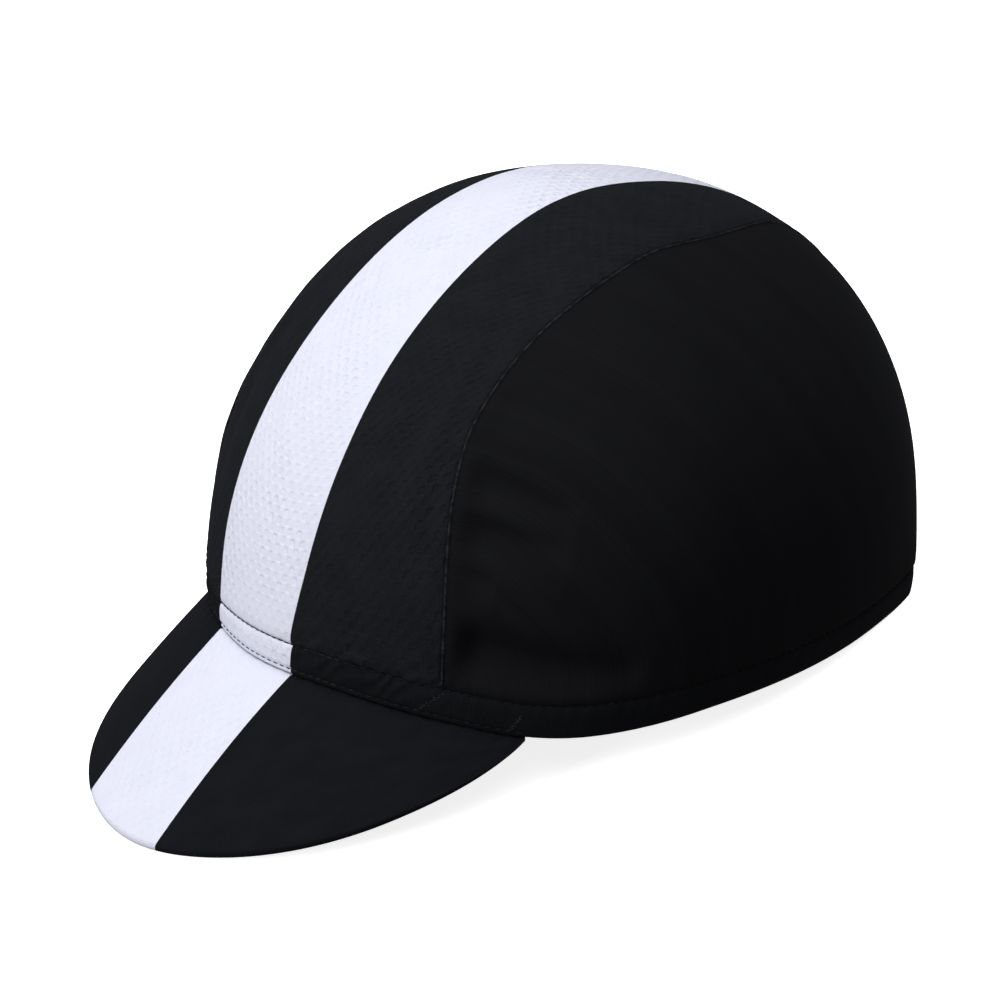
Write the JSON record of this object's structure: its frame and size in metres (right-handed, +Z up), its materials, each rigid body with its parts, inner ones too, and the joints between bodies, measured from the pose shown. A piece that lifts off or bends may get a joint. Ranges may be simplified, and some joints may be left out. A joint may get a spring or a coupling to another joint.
{
  "type": "soft cycling cap",
  "caption": "Soft cycling cap with a rounded panelled crown, a narrow sewn hem and a short curved peak, with a plain stripe over the middle.",
  "frame": {"origin": "on the floor under the middle of the cap's box, as the cap rests on its peak's edge and the rear of its hem", "axes": "+Z up, the peak points to -Y, the wearer's left is +X"},
  "size_m": [0.166, 0.2284, 0.1158],
  "materials": {
    "mesh_knit": "matt black polyester mesh knit with small staggered dimples; a printed white stripe, about (0.78, 0.80, 0.90), runs down its middle",
    "fine_knit": "matt black fine knit with faint upright ribs",
    "hem_cloth": "black knit turned over and sewn with two rows of stitches; the printed white stripe crosses it at the front",
    "peak_cloth": "black knit drawn over a thin stiff core; the printed white stripe runs down its middle"
  },
  "bodies": {
    "root": {"centre_panel": "mesh_knit", "side_panel_left": "fine_knit", "side_panel_right": "fine_knit", "hem_band": "hem_cloth", "peak": "peak_cloth"}
  },
  "joints": []
}
